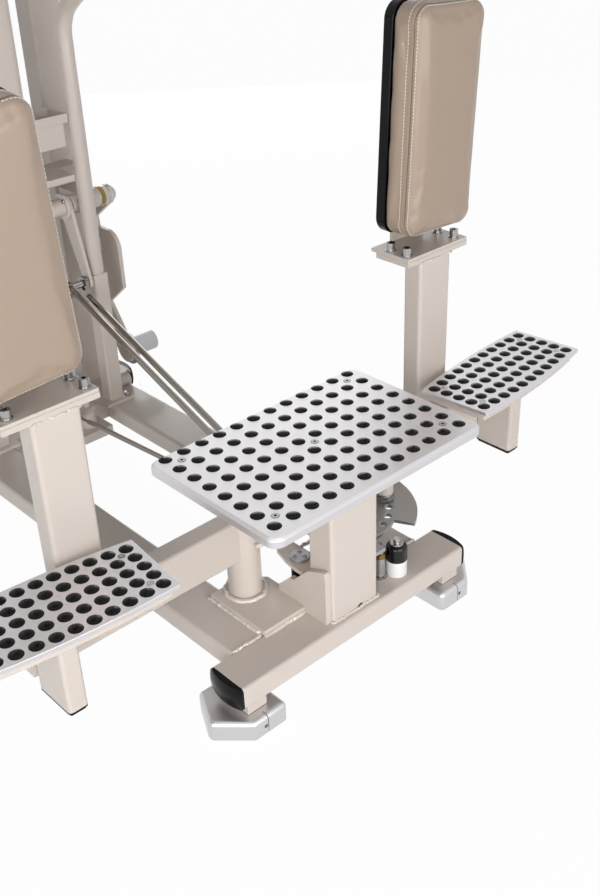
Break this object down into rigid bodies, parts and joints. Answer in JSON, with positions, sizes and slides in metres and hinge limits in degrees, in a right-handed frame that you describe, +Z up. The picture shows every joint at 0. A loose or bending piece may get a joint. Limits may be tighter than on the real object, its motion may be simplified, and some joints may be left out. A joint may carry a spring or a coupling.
{
  "type": "standing adductor machine",
  "caption": "Standing hip machine: studded platform and foot plates, two swinging arms with thigh cushions, drive rods to a rocking lever with a weight horn, on a floor frame.",
  "frame": {"origin": "middle of the footprint on the floor", "axes": "+Z up, +Y the way the user faces, towards the column, +X to the user's right, the side of the weight horn"},
  "size_m": [1.4328, 1.289, 1.405],
  "materials": {
    "cream_paint": "satin powder coat",
    "black_plastic": "moulded",
    "cast_silver": "cast, silver paint",
    "plate_aluminium": "satin anodised",
    "steel_bright": "bright plated",
    "shaft_steel": "machined",
    "white_plastic": "moulded",
    "black_rubber": "matt",
    "board_gloss": "gloss",
    "taupe_leather": "soft grained, stitched"
  },
  "bodies": {
    "frame": {"front_cross_tube": "cream_paint", "rear_cross_tube": "cream_paint", "leg_blocks": "cream_paint", "cross_tube_caps": "black_plastic", "cast_feet": "cast_silver", "base_beams": "cream_paint", "pivot_plates": "cream_paint", "pivot_shafts": "shaft_steel", "main_post": "cream_paint", "platform_saddle": "cream_paint", "platform_plate": "plate_aluminium", "platform_studs": "black_plastic", "platform_screws": "steel_bright", "bump_stop_base": "white_plastic", "bump_stop_rubber": "black_rubber", "index_plate": "shaft_steel", "centre_column": "cream_paint", "uprights": "cream_paint", "left_handle": "cream_paint", "right_handle": "cream_paint", "handle_grips": "black_plastic", "tray": "cream_paint", "lever_housing": "cream_paint", "idler_stud": "cream_paint", "frame_bolts": "steel_bright"},
    "left_arm": {"left_arm_bar": "cream_paint", "left_arm_post": "cream_paint", "left_stub": "cream_paint", "left_stub_plug": "black_plastic", "left_crank": "cream_paint", "left_bushes": "cream_paint", "left_step_carrier": "cream_paint", "left_step_plate": "plate_aluminium", "left_step_studs": "black_plastic", "left_arm_bolts": "steel_bright", "left_pad_bracket": "cream_paint", "left_pad_board": "board_gloss", "left_cushion": "taupe_leather"},
    "right_arm": {"right_arm_bar": "cream_paint", "right_arm_post": "cream_paint", "right_stub": "cream_paint", "right_stub_plug": "black_plastic", "right_crank": "cream_paint", "right_bushes": "cream_paint", "right_step_carrier": "cream_paint", "right_step_plate": "plate_aluminium", "right_step_studs": "black_plastic", "right_arm_bolts": "steel_bright", "right_pad_bracket": "cream_paint", "right_pad_board": "board_gloss", "right_cushion": "taupe_leather", "pin_sleeve": "cream_paint"},
    "lever": {"lever_arm": "cream_paint", "lever_shaft": "steel_bright", "weight_horn": "shaft_steel"},
    "left_rod": {"left_drive_rod": "steel_bright"},
    "right_rod": {"right_drive_rod": "steel_bright"},
    "link_rod": {"lower_rod": "steel_bright"},
    "idler": {"idler_crank": "cream_paint"},
    "pin": {"pull_pin": "steel_bright"}
  },
  "joints": [
    {"name": "left_swing", "type": "hinge", "parent": "frame", "child": "left_arm", "pos_m": [-0.113, -0.3895, 0.2], "axis": [0, 0, 1], "range_deg": [0, 62]},
    {"name": "right_swing", "type": "hinge", "parent": "frame", "child": "right_arm", "pos_m": [0.113, -0.3895, 0.2], "axis": [0, 0, 1], "range_deg": [-62, 0]},
    {"name": "lever_swing", "type": "hinge", "parent": "frame", "child": "lever", "pos_m": [0.1, 0.4815, 0.6], "axis": [1, 0, 0], "range_deg": [0, 35.5]},
    {"name": "left_rod_turn", "type": "hinge", "parent": "left_arm", "child": "left_rod", "pos_m": [-0.023, -0.44358, 0.254], "axis": [0, 0, 1], "range_deg": [-62, 0]},
    {"name": "right_rod_turn", "type": "hinge", "parent": "right_arm", "child": "right_rod", "pos_m": [0.023, -0.44358, 0.227], "axis": [0, 0, 1], "range_deg": [0, 62]},
    {"name": "link_rod_turn", "type": "hinge", "parent": "right_arm", "child": "link_rod", "pos_m": [0.065, -0.41834, 0.162], "axis": [0, 0, 1], "range_deg": [0, 62]},
    {"name": "idler_turn", "type": "hinge", "parent": "frame", "child": "idler", "pos_m": [0.043, 0.37034, 0.154], "axis": [0, 0, 1], "range_deg": [-62, 0]},
    {"name": "pin_slide", "type": "slide", "parent": "right_arm", "child": "pin", "axis": [0, 0, -1], "range_m": [0, 0.014]}
  ],
  "couplings": [
    {"joint": "right_swing", "follows": "left_swing", "ratio": -1},
    {"joint": "lever_swing", "follows": "left_swing", "ratio": 0.5724},
    {"joint": "left_rod_turn", "follows": "left_swing", "ratio": -1},
    {"joint": "right_rod_turn", "follows": "left_swing", "ratio": 1},
    {"joint": "link_rod_turn", "follows": "left_swing", "ratio": 1},
    {"joint": "idler_turn", "follows": "left_swing", "ratio": -1}
  ]
}
